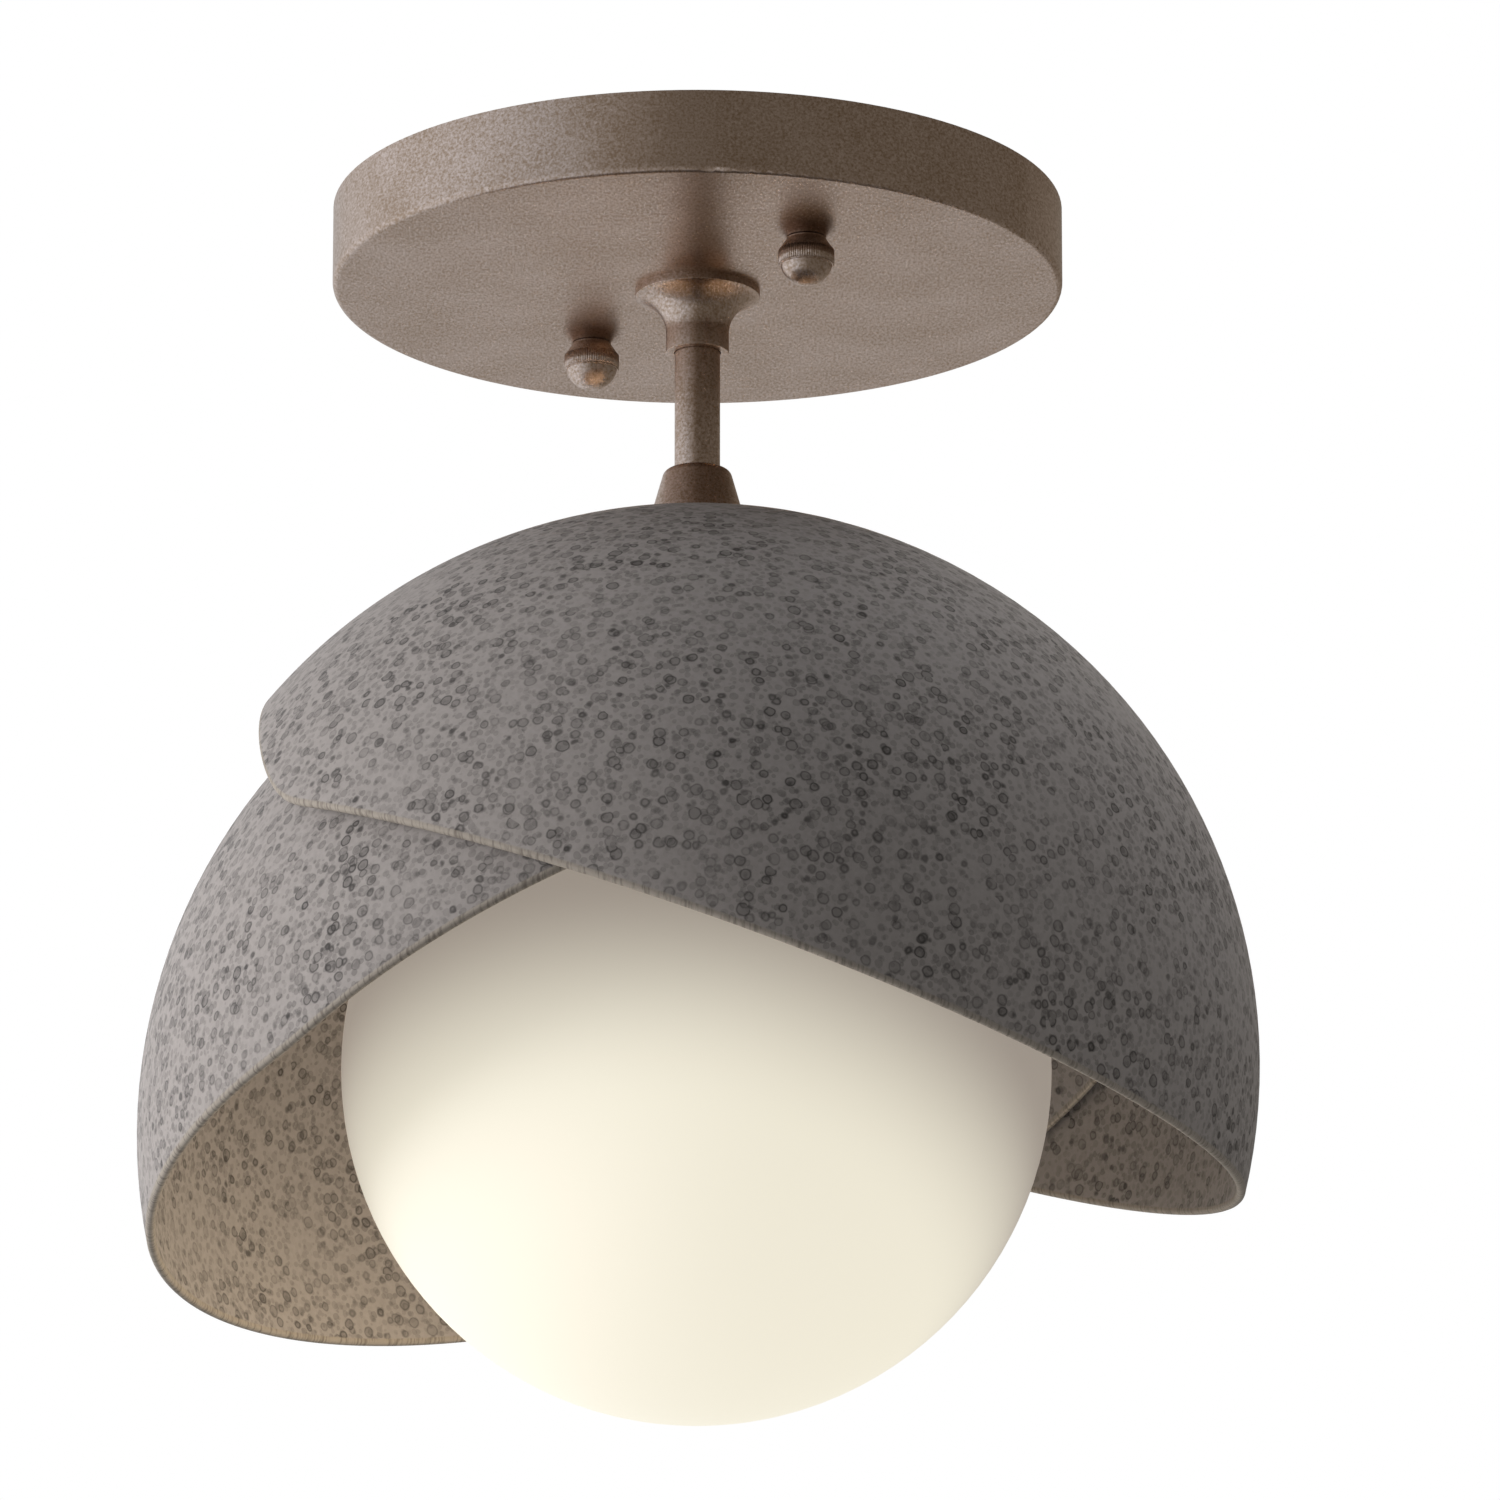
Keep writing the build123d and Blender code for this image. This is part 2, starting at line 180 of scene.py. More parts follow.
# Steel sheet with a sprayed stone effect: a matte grey ground under see-through drops that dried
# with dark rings. The edge of the rim is rubbed smooth and has fine dark marks across it.
stoneCoat = {
    "ground": "#8b8684", "ring": "#2b2827", "worn": "#8c857d", "mark": "#5a524b",
    "roughness": 0.72, "bump": 0.25, "bumpDepth": 0.06, "gritPerMm": 3.0, "dropHeight": 0.6,
    # uneven outlines of the drops: how far in mm, and bends per mm
    "waver": 0.3, "waverPerMm": 0.6,
    # drops in mm: spacing, smallest and largest radius, share shown, width of the line, and
    # darkness of line and fill
    "drops": [(3.1, 0.75, 1.20, 0.80, 0.36, 0.95, 0.45), (3.7, 0.70, 1.10, 0.80, 0.34, 0.85, 0.40),
              (1.8, 0.40, 0.75, 0.85, 0.20, 0.46, 0.36), (1.5, 0.35, 0.60, 0.80, 0.18, 0.38, 0.32),
              (2.2, 0.50, 0.80, 0.70, 0.20, 0.36, 0.28)],
    "faintest": 0.45, "layerStep": 37.0,
    # areas in mm with paler drops, between these two noise levels
    "patch": 26.0, "patchRange": (0.36, 0.6), "patchPale": 0.6,
    "cloudPerMm": 0.9, "cloudShade": (0.92, 1.06),
    # rim: width of the rubbed edge in mm from and to, its fraying, and its marks per mm
    "wornWidth": 0.35, "wornFull": -0.1, "fray": 0.3, "frayPerMm": 0.55,
    "marksAlong": 1.6, "marksAcross": 0.35, "markRange": (0.48, 0.66), "markDark": 0.7,
}


def makeStoneCoat(look):
    material, tree, shader, place = newMaterial("sprayedStoneCoat",
                                                {"Roughness": look["roughness"]})
    waver = add(tree, "ShaderNodeTexNoise", {"Vector": place, "Scale": look["waverPerMm"],
                                             "Detail": 1.0})
    centred = add(tree, "ShaderNodeVectorMath", {0: waver.outputs["Color"], 1: (0.5, 0.5, 0.5)},
                  operation="SUBTRACT")
    moved = add(tree, "ShaderNodeVectorMath", {0: centred, 1: [2 * look["waver"]] * 3, 2: place},
                operation="MULTIPLY_ADD")
    patch = add(tree, "ShaderNodeTexNoise", {"Vector": place, "Scale": 1 / look["patch"],
                                             "Detail": 2.0})
    patchLow, patchHigh = look["patchRange"]
    busy = add(tree, "ShaderNodeMapRange", {"Value": patch, "From Min": patchLow,
                                            "From Max": patchHigh, "To Min": look["patchPale"],
                                            "To Max": 1.0})
    bare = 1.0  # how much of the ground shows through all the drops
    for layer, drops in enumerate(look["drops"]):
        spacing, small, large, share, line, lineDark, fillDark = drops
        slid = add(tree, "ShaderNodeVectorMath", {0: moved, 1: [look["layerStep"] * layer] * 3},
                   operation="ADD")
        cells = add(tree, "ShaderNodeTexVoronoi", {"Vector": slid, "Scale": 1 / spacing})
        chance = add(tree, "ShaderNodeSeparateColor", {0: cells.outputs["Color"]})
        radius = add(tree, "ShaderNodeMapRange", {"Value": chance.outputs["Red"], "To Min": small,
                                                  "To Max": large})
        reach = add(tree, "ShaderNodeMath", {0: cells.outputs["Distance"], 1: spacing},
                    operation="MULTIPLY")
        past = add(tree, "ShaderNodeMath", {0: reach, 1: radius}, operation="SUBTRACT")
        away = add(tree, "ShaderNodeMath", {0: past}, operation="ABSOLUTE")
        edge = add(tree, "ShaderNodeMapRange", {"Value": away, "From Min": line, "From Max": 0.0,
                                                "To Max": lineDark},
                   interpolation_type="SMOOTHSTEP")
        fill = add(tree, "ShaderNodeMapRange", {"Value": past, "From Min": 0.5 * line,
                                                "From Max": -0.5 * line, "To Max": fillDark})
        drop = add(tree, "ShaderNodeMath", {0: edge, 1: fill}, operation="MAXIMUM")
        wanted = add(tree, "ShaderNodeMath", {0: share, 1: chance.outputs["Green"]},
                     operation="GREATER_THAN")
        depth = add(tree, "ShaderNodeMapRange", {"Value": chance.outputs["Blue"],
                                                 "To Min": look["faintest"]})
        for factor in (depth, wanted, busy):
            drop = add(tree, "ShaderNodeMath", {0: drop, 1: factor}, operation="MULTIPLY")
        left = add(tree, "ShaderNodeMath", {0: 1.0, 1: drop}, operation="SUBTRACT")
        bare = add(tree, "ShaderNodeMath", {0: bare, 1: left}, operation="MULTIPLY")
    covered = add(tree, "ShaderNodeMath", {0: 1.0, 1: bare}, operation="SUBTRACT")
    cloud = add(tree, "ShaderNodeTexNoise", {"Vector": place, "Scale": look["cloudPerMm"],
                                             "Detail": 4.0})
    darkest, palest = look["cloudShade"]
    shade = add(tree, "ShaderNodeMapRange", {"Value": cloud, "From Min": 0.3, "From Max": 0.7,
                                             "To Min": darkest, "To Max": palest})
    ground = add(tree, "ShaderNodeMix", {0: 1.0, 6: linear(look["ground"]), 7: shade},
                 data_type="RGBA", blend_type="MULTIPLY")
    coat = add(tree, "ShaderNodeMix", {0: covered, 6: ground.outputs[2], 7: linear(look["ring"])},
               data_type="RGBA")
    # rimPlace, from the shade's mesh: two numbers that run round the rim and the way to it
    along = add(tree, "ShaderNodeAttribute", attribute_name="rimPlace").outputs["Vector"]
    gap = add(tree, "ShaderNodeSeparateXYZ", {0: along}).outputs["Z"]
    fray = add(tree, "ShaderNodeTexNoise", {"Vector": place, "Scale": look["frayPerMm"],
                                            "Detail": 3.0})
    frayed = add(tree, "ShaderNodeMath", {0: fray, 1: -look["fray"] * mm, 2: gap},
                 operation="MULTIPLY_ADD")
    worn = add(tree, "ShaderNodeMapRange", {"Value": frayed, "From Min": look["wornWidth"] * mm,
                                            "From Max": look["wornFull"] * mm},
               interpolation_type="SMOOTHSTEP")
    fine = add(tree, "ShaderNodeMapping", {"Vector": along, "Scale": [
        look["marksAlong"] / mm, look["marksAlong"] / mm, look["marksAcross"] / mm]})
    streaks = add(tree, "ShaderNodeTexNoise", {"Vector": fine, "Scale": 1.0, "Detail": 2.0})
    markLow, markHigh = look["markRange"]
    dark = add(tree, "ShaderNodeMapRange", {"Value": streaks, "From Min": markLow,
                                            "From Max": markHigh, "To Max": look["markDark"]})
    rubbed = add(tree, "ShaderNodeMix", {0: dark, 6: linear(look["worn"]),
                                         7: linear(look["mark"])}, data_type="RGBA")
    mixed = add(tree, "ShaderNodeMix", {0: worn, 6: coat.outputs[2], 7: rubbed.outputs[2]},
                data_type="RGBA")
    tree.links.new(mixed.outputs[2], shader.inputs["Base Color"])
    grit = add(tree, "ShaderNodeTexNoise", {"Vector": place, "Scale": look["gritPerMm"],
                                            "Detail": 3.0})
    height = add(tree, "ShaderNodeMath", {0: covered, 1: look["dropHeight"], 2: grit},
                 operation="MULTIPLY_ADD")
    bump = add(tree, "ShaderNodeBump", {"Height": height, "Strength": look["bump"],
                                        "Distance": look["bumpDepth"] * mm})
    tree.links.new(bump.outputs[0], shader.inputs["Normal"])
    return material


# Brass sheet and rod, toned to a soft brown bronze under satin lacquer: fine grey and orange
# brown speckle, a little longer one way from brushing. It is drawn coarser than it is, at
# 0.5 mm, so that it shows.
bronzeTone = {
    "metal": "#bfaea5", "dark": "#947e6b", "edge": "#fff6ef", "toneRange": (0.45, 0.8),
    "roughness": 0.32, "roughnessSpan": 0.06, "bump": 0.12, "bumpDepth": 0.03,
    "speckle": 0.5, "stretch": (1, 0.4, 1), "cloud": 16.0, "cloudShare": 0.25,
}


def makeBronze(look):
    material, tree, shader, place = newMaterial("tonedLacqueredBrass", {
        "Metallic": 1.0, "Specular Tint": linear(look["edge"])})
    drawn = add(tree, "ShaderNodeMapping", {"Vector": place, "Scale": look["stretch"]})
    grain = add(tree, "ShaderNodeTexNoise", {"Vector": drawn, "Scale": 1 / look["speckle"],
                                             "Detail": 2.0, "Roughness": 0.7})
    cloud = add(tree, "ShaderNodeTexNoise", {"Vector": place, "Scale": 1 / look["cloud"],
                                             "Detail": 2.0})
    tone = add(tree, "ShaderNodeMath", {0: cloud, 1: look["cloudShare"], 2: grain},
               operation="MULTIPLY_ADD")
    toneLow, toneHigh = look["toneRange"]
    toned = add(tree, "ShaderNodeMapRange", {"Value": tone, "From Min": toneLow,
                                             "From Max": toneHigh})
    colour = add(tree, "ShaderNodeMix", {0: toned, 6: linear(look["dark"]),
                                         7: linear(look["metal"])}, data_type="RGBA")
    tree.links.new(colour.outputs[2], shader.inputs["Base Color"])
    rough = add(tree, "ShaderNodeMapRange", {
        "Value": grain, "From Min": 0.3, "From Max": 0.7,
        "To Min": look["roughness"] + look["roughnessSpan"],
        "To Max": look["roughness"] - look["roughnessSpan"]})
    tree.links.new(rough.outputs[0], shader.inputs["Roughness"])
    bump = add(tree, "ShaderNodeBump", {"Height": grain, "Strength": look["bump"],
                                        "Distance": look["bumpDepth"] * mm})
    tree.links.new(bump.outputs[0], shader.inputs["Normal"])
    return material


# Blown opal glass, etched matte, glowing from the bulb inside. Its glow holds painted light and
# shade:
# bright low down and in front, towards the bright side, and painted beige shade (dim) under the
# shades, where they shadow it. Middle and radius of the ball in mm.
opalGlow = {
    "glass": "#8c8884", "glow": "#fff9e4", "dim": "#a79d92", "roughness": 0.55,
    "strength": 0.75, "middle": (0.0, 0.0, -176.45), "radius": 69.15,
    "paintedLightSide": (-0.13, -0.39, -0.91), "from": 0.1, "to": 0.7,
    "mistPerMm": 2.5, "bump": 0.04, "bumpDepth": 0.03,
}


def makeOpalGlass(look):
    material, tree, shader, place = newMaterial("etchedOpalGlass", {
        "Base Color": linear(look["glass"]), "Roughness": look["roughness"],
        "Emission Strength": look["strength"]})
    # Painted light and shade on the glow: brighter towards the lower front, painted shade towards
    # the top
    centred = add(tree, "ShaderNodeVectorMath", {0: place, 1: look["middle"]},
                  operation="SUBTRACT")
    towards = add(tree, "ShaderNodeVectorMath", {
        0: centred, 1: [part / look["radius"] for part in look["paintedLightSide"]]},
        operation="DOT_PRODUCT")
    paintedLitShare = add(tree, "ShaderNodeMapRange", {"Value": towards.outputs["Value"],
                                           "From Min": look["from"], "From Max": look["to"]},
              interpolation_type="SMOOTHSTEP")
    glow = add(tree, "ShaderNodeMix", {0: paintedLitShare, 6: linear(look["dim"]), 7: linear(look["glow"])},
               data_type="RGBA")
    tree.links.new(glow.outputs[2], shader.inputs["Emission Color"])
    mist = add(tree, "ShaderNodeTexNoise", {"Vector": place, "Scale": look["mistPerMm"],
                                            "Detail": 2.0})
    bump = add(tree, "ShaderNodeBump", {"Height": mist, "Strength": look["bump"],
                                        "Distance": look["bumpDepth"] * mm})
    tree.links.new(bump.outputs[0], shader.inputs["Normal"])
    return material


def makeFinish(name, light, dark, metallic, roughness, grain, span=0.08, stretch=(1, 1, 1),
               glow=0.0):
    # Two tones mixed by a grain in mm, which also varies the gloss
    material, tree, shader, place = newMaterial(name, {"Metallic": metallic,
                                                       "Emission Strength": glow})
    drawn = add(tree, "ShaderNodeMapping", {"Vector": place, "Scale": stretch})
    spots = add(tree, "ShaderNodeTexNoise", {"Vector": drawn, "Scale": 1 / grain, "Detail": 4.0})
    tone = add(tree, "ShaderNodeMapRange", {"Value": spots, "From Min": 0.3, "From Max": 0.7})
    colour = add(tree, "ShaderNodeMix", {0: tone, 6: linear(dark), 7: linear(light)},
                 data_type="RGBA")
    tree.links.new(colour.outputs[2], shader.inputs["Base Color"])
    worn = add(tree, "ShaderNodeMapRange", {"Value": tone, "To Min": roughness + span,
                                            "To Max": roughness - span})
    tree.links.new(worn.outputs[0], shader.inputs["Roughness"])
    bump = add(tree, "ShaderNodeBump", {"Height": spots, "Strength": 0.15, "Distance": 0.02 * mm})
    tree.links.new(bump.outputs[0], shader.inputs["Normal"])
    if glow:
        tree.links.new(colour.outputs[2], shader.inputs["Emission Color"])
    return material


stone = makeStoneCoat(stoneCoat)
bronze = makeBronze(bronzeTone)
opal = makeOpalGlass(opalGlow)
# Zinc plated steel: cool, with soft clouds from the plating bath
zinc = makeFinish("brightZincOnSteel", "#cfd0cf", "#a9aba9", metallic=1.0, roughness=0.34,
                  grain=3.0)
# Zinc dyed green, the colour of an earth screw
greenZinc = makeFinish("greenDyedZinc", "#3f9a5f", "#256b3d", metallic=0.8, roughness=0.36,
                       grain=1.2)
# Moulded heat resistant polyester: even, with a slight gloss
socketResin = makeFinish("mouldedPolyester", "#ece9e1", "#dedad0", metallic=0.0, roughness=0.38,
                         grain=2.0, span=0.05)
# Drawn brass sheet: warm yellow, with fine lines up and down from the die
drawnBrass = makeFinish("drawnBrass", "#d8b26c", "#b48c48", metallic=1.0, roughness=0.28,
                        grain=0.5, span=0.06, stretch=(1, 1, 0.08))
# Nickel plated shell, rolled on a former, so its lines run round
rolledNickel = makeFinish("rolledNickelShell", "#d6d4cf", "#b5b2ab", metallic=1.0,
                          roughness=0.24, grain=1.0, span=0.06, stretch=(0.1, 0.1, 1))
# Moulded white polycarbonate housing: even and half matte
housingResin = makeFinish("mouldedPolycarbonate", "#f1efe9", "#e4e1d9", metallic=0.0,
                          roughness=0.42, grain=1.5, span=0.05)
# Milky blow moulded dome of the bulb, softly lit from inside
milkyDome = makeFinish("milkyPolycarbonate", "#fff8e4", "#f6ecd2", metallic=0.0, roughness=0.45,
                       grain=3.0, span=0.05, glow=0.7)
# Black glass bead round the solder tip: fused, so it shines
blackGlass = makeFinish("blackGlassBead", "#262423", "#151414", metallic=0.0, roughness=0.18,
                        grain=0.8, span=0.04)
# Moulded silicone ring: pale and matte
silicone = makeFinish("mouldedSilicone", "#e3dfd6", "#d3cec3", metallic=0.0, roughness=0.62,
                      grain=1.0, span=0.05)
print("materials made")

finishOf = {
    zinc: ["box_strap", "strap_eyelet", "swivel_strap", "stud_nut_front", "stud_nut_rear",
           "stem_top_washer", "stem_top_nut", "stem_low_washer", "stem_low_nut"],
    greenZinc: ["ground_screw"],
    bronze: ["canopy", "stem_collar", "stem_tube", "cone_cap", "shade_spacer", "holder_seat",
             "globe_holder"],
    opal: ["globe_glass"],
    silicone: ["globe_gasket"],
    socketResin: ["socket_body"],
    drawnBrass: ["socket_shell", "socket_contact"],
    blackGlass: ["bulb_tip"],
    housingResin: ["bulb_housing"],
    milkyDome: ["bulb_glass"],
}
for material, names in finishOf.items():
    for name in names:
        nodes[name].data.materials.clear()
        nodes[name].data.materials.append(material)
print("solids dressed:", sum(len(names) for names in finishOf.values()))


# Both bowl shades are hollow balls cut off under an oblique rim. Sizes in mm, angles in degrees.
# The rim, in its own side view across the heading of its low end: how high it passes over the
# middle of the ball, its slope, and its bends as (place, new slope, softness).
shades = {
    "outer": {"radius": 109.6, "middle": -175.5, "heading": -15.4, "roll": 0.0, "height": 12.0,
              "slope": 20.5, "bends": [(0.0, 20.5, 0.0), (-59.0, 57.5, 8.0), (-68.5, 70.0, 8.0)]},
    "inner": {"radius": 108.6, "middle": -189.7, "heading": 139.0, "roll": -5.1, "height": 9.7,
              "slope": 18.0, "bends": [(8.0, 25.2, 1.2), (-59.0, 57.5, 8.0), (-68.5, 70.0, 8.0)]},
}
# The sheet, the faces round and along it, the straight lines of a rim, and the parts of the wrap:
# where each runs along the side view, as shares of the grid, and what it counts up to
shadeSheet = {
    "wall": 1.8, "hole": 4.6, "around": 576, "along": 100, "lines": 4,
    "wrap": [("down", -0.5, -0.05, 1.0), ("cap", -0.05, 0.03, pi), ("up", 0.03, 0.48, 1.0),
             ("through", 0.48, 0.5, 1.0)],
}


def shadeTree(sheet):
    # A grid wraps the shell: from the stem hole down the outside, round the rim, up the inside
    # and back through the hole
    lines = range(1, sheet["lines"] + 1)
    sizes = {"Radius": 0.11, "Wall": 0.002, "Middle": 0.0, "Heading": 0.0, "Roll": 0.0,
             "Hole": 0.04, "Around": 64, "Along": 64}
    for line in lines:
        sizes.update({f"Height {line}": 0.01, f"Slope {line}": 0.3, f"Softness {line}": 0.0})
    tree, given, result = newTree("shadeShell", {**sizes, "Material": None})
    rows = add(tree, "ShaderNodeMath", {0: given["Along"], 1: 1.0}, operation="ADD")
    columns = add(tree, "ShaderNodeMath", {0: given["Around"], 1: 1.0}, operation="ADD")
    grid = add(tree, "GeometryNodeMeshGrid", {"Size X": 2 * pi, "Size Y": 1.0,
                                              "Vertices X": columns, "Vertices Y": rows})
    spot = add(tree, "ShaderNodeSeparateXYZ", {0: add(tree, "GeometryNodeInputPosition")})
    known = {label: given[label] for label in sizes}
    known.update(turn=spot.outputs["X"])
    for name, start, end, full in sheet["wrap"]:
        known[name] = add(tree, "ShaderNodeMapRange", {
            "Value": spot.outputs["Y"], "From Min": start, "From Max": end, "To Max": full})
    # Each line of these sums: its name, the operation and its terms
    sums = [("cosTurn", "COSINE", "turn"), ("sinTurn", "SINE", "turn"),
            ("upright", "COSINE", "Roll"), ("lean", "SINE", "Roll"),
            ("sideways", "MULTIPLY", "sinTurn", "lean"),
            ("uprightSquare", "MULTIPLY", "upright", "upright")]
    for line in lines:
        sums += [("tilt", "TANGENT", f"Slope {line}"), ("tilt", "MULTIPLY", "tilt", "cosTurn"),
                 ("tilt", "SUBTRACT", "tilt", "sideways"),
                 ("size", "MULTIPLY_ADD", "tilt", "tilt", "uprightSquare"),
                 ("size", "SQRT", "size"), ("size", "MULTIPLY", "size", "Radius"),
                 ("past", "DIVIDE", f"Height {line}", "size"), ("past", "ARCCOSINE", "past"),
                 ("aim", "ARCTAN2", "tilt", "upright"),
                 ("fall" if line > 1 else "rim", "ADD", "aim", "past")]
        if line > 1:
            sums.append(("rim", "SMOOTH_MIN", "rim", "fall", f"Softness {line}"))
    sums += [("halfWall", "MULTIPLY", "Wall", 0.5), ("capFall", "DIVIDE", "halfWall", "Radius"),
             ("end", "SUBTRACT", "rim", "capFall"), ("span", "SUBTRACT", "end", "Hole"),
             ("share", "SUBTRACT", "down", "up"),
             ("fall", "MULTIPLY_ADD", "span", "share", "Hole"),
             ("bulge", "SINE", "cap"), ("fall", "MULTIPLY_ADD", "bulge", "capFall", "fall"),
             ("inward", "COSINE", "cap"), ("inward", "SUBTRACT", 1.0, "inward"),
             ("inward", "MULTIPLY", "inward", "halfWall"),
             ("reach", "SUBTRACT", "Radius", "inward"),
             ("reach", "MULTIPLY_ADD", "through", "Wall", "reach"),
             ("heading", "ADD", "turn", "Heading"), ("cosHeading", "COSINE", "heading"),
             ("sinHeading", "SINE", "heading"), ("out", "SINE", "fall"),
             ("out", "MULTIPLY", "out", "reach"), ("x", "MULTIPLY", "out", "cosHeading"),
             ("y", "MULTIPLY", "out", "sinHeading"), ("z", "COSINE", "fall"),
             ("z", "MULTIPLY_ADD", "z", "reach", "Middle"),
             ("gap", "SUBTRACT", "end", "fall"), ("gap", "MULTIPLY", "gap", "Radius"),
             ("roundX", "MULTIPLY", "cosHeading", "Radius"),
             ("roundY", "MULTIPLY", "sinHeading", "Radius")]
    for name, operation, *terms in sums:
        known[name] = add(tree, "ShaderNodeMath", {
            i: known.get(term, term) for i, term in enumerate(terms)}, operation=operation)
    rimPlace = add(tree, "ShaderNodeCombineXYZ", {"X": known["roundX"], "Y": known["roundY"],
                                                  "Z": known["gap"]})
    stored = add(tree, "GeometryNodeStoreNamedAttribute", {
        "Geometry": grid.outputs["Mesh"], "Name": "rimPlace", "Value": rimPlace},
        data_type="FLOAT_VECTOR", domain="POINT")
    spread = add(tree, "ShaderNodeCombineXYZ", {"X": known["x"], "Y": known["y"],
                                                "Z": known["z"]})
    wrapped = add(tree, "GeometryNodeSetPosition", {"Geometry": stored, "Position": spread})
    closed = add(tree, "GeometryNodeMergeByDistance", {"Geometry": wrapped, "Distance": mm / 100})
    outward = add(tree, "GeometryNodeFlipFaces", {"Mesh": closed})
    smooth = add(tree, "GeometryNodeSetShadeSmooth", {"Geometry": outward, "Shade Smooth": True})
    real = add(tree, "GeometryNodeRealizeInstances", {"Geometry": smooth})
    last = add(tree, "GeometryNodeSetMaterial", {"Geometry": real,
                                                 "Material": given["Material"]})
    tree.links.new(last.outputs[0], result.inputs[0])
    return tree


def makeShade(name, shade, sheet, tree):
    sizes = {"Radius": shade["radius"] * mm, "Wall": sheet["wall"] * mm,
             "Middle": shade["middle"] * mm, "Heading": radians(shade["heading"]),
             "Roll": radians(shade["roll"]), "Hole": sheet["hole"] / shade["radius"],
             "Around": sheet["around"], "Along": sheet["along"], "Material": stone}
    height, slope, softness = shade["height"], shade["slope"], 0.0
    bends = shade["bends"] + [(0.0, 0.0, 0.0)]  # nothing follows the last line
    for line, (place, nextSlope, nextSoftness) in enumerate(bends, 1):
        sizes.update({f"Height {line}": height * mm, f"Slope {line}": radians(slope),
                      f"Softness {line}": softness / shade["radius"]})
        height += (tan(radians(nextSlope)) - tan(radians(slope))) * place
        slope, softness = nextSlope, nextSoftness
    mesh = grown(name + "Shade", tree, sizes)
    keep(name + "Shade", mesh, "light", stone, name + "_shade")


tree = shadeTree(shadeSheet)
for name, shade in shades.items():
    makeShade(name, shade, shadeSheet, tree)
print("shades made")


# The two ball nuts: neck, flare, straight knurl, lip and a ball end with a blind bore. Heights are
# mm under the ceiling, the front nut stands at this place and the rear one opposite. Roundings
# run from the bore over the neck and the flare to the lip.
ballNut = {
    "place": (21.3, -32.8), "top": -16.6, "neckRadius": 3.9, "neckEnd": -16.9,
    "flareEnd": -19.1, "bodyRadius": 5.35, "lip": -22.25, "lipStep": 0.02,
    "ballMiddle": -21.05, "ballRadius": 5.2, "ballSteps": 18, "bore": 2.1, "boreEnd": -24.0,
    "roundings": (0.2, 0.15, 0.1, 0.25, 0.12),
    "ridges": 72, "ridgeRadius": 0.34, "ridgeMiddle": 5.16, "ridgeTop": -19.15,
    "ridgeBottom": -21.95,
}


def knurlTree():
    # Fine upright ridges in a ring round the base mesh
    tree, given, result = newTree("knurl", {
        "Count": 72, "Ring": 0.005, "Ridge": 0.0002, "Top": 0.003, "Bottom": 0.0,
        "Material": None})
    ring = add(tree, "GeometryNodeMeshCircle", {"Vertices": given["Count"],
                                                "Radius": given["Ring"]})
    long = add(tree, "ShaderNodeMath", {0: given["Top"], 1: given["Bottom"]},
               operation="SUBTRACT")
    ridge = add(tree, "GeometryNodeMeshCylinder", {"Vertices": 8, "Radius": given["Ridge"],
                                                   "Depth": long})
    copies = add(tree, "GeometryNodeInstanceOnPoints", {"Points": ring.outputs["Mesh"],
                                                        "Instance": ridge.outputs["Mesh"]})
    ends = add(tree, "ShaderNodeMath", {0: given["Top"], 1: given["Bottom"]}, operation="ADD")
    middle = add(tree, "ShaderNodeMath", {0: ends, 1: 0.5}, operation="MULTIPLY")
    joinBase(tree, given, copies, add(tree, "ShaderNodeCombineXYZ", {"Z": middle}), result)
    return tree


def ballNutProfile(nut):
    down = nut["ballMiddle"] - nut["lip"]
    ballOut = sqrt(nut["ballRadius"] ** 2 - down ** 2)
    outs = (nut["bore"], nut["neckRadius"], nut["neckRadius"], nut["bodyRadius"],
            nut["bodyRadius"])
    heights = (nut["top"], nut["top"], nut["neckEnd"], nut["flareEnd"], nut["lip"])
    corners = list(zip(outs, heights, nut["roundings"]))
    profile = rounded(corners + [(ballOut, nut["lip"] - nut["lipStep"], 0)])[:-1]
    start = asin(down / nut["ballRadius"])
    for step in range(nut["ballSteps"]):
        angle = start + (pi / 2 - start) * step / nut["ballSteps"]
        profile.append((nut["ballRadius"] * cos(angle),
                        nut["ballMiddle"] - nut["ballRadius"] * sin(angle)))
    return profile + [(0.0, nut["ballMiddle"] - nut["ballRadius"]), (0.0, nut["boreEnd"]),
                      (nut["bore"], nut["boreEnd"])]


def atPlace(side, place):
    # Moves a mesh from the axis to a stud's place in front (1) or opposite at the rear (-1)
    return Matrix.Translation([side * part * mm for part in place] + [0])


tree = knurlTree()
for side, name in ((1, "front"), (-1, "rear")):
    body = turnedMesh("ballNutBody", ballNutProfile(ballNut))
    mesh = grown(name + "BallNut", tree, {
        "Count": ballNut["ridges"], "Ring": ballNut["ridgeMiddle"] * mm,
        "Ridge": ballNut["ridgeRadius"] * mm, "Top": ballNut["ridgeTop"] * mm,
        "Bottom": ballNut["ridgeBottom"] * mm, "Material": bronze}, body)
    mesh.transform(atPlace(side, ballNut["place"]))
    keep(name + "BallNut", mesh, name + "_nut", bronze, "cap_nut_" + name)
print("ball nuts made")


# Collar: a thin flange whose lower side runs in one hollow curve down to the neck. Sizes in mm.
collar = {"top": -16.5, "flangeRadius": 12.4, "flange": 1.4, "neckRadius": 6.25,
          "curveEnd": -25.3, "slope": 0.15, "curveSteps": 30, "bottom": -29.5, "bore": 4.6,
          "rounding": 0.15}


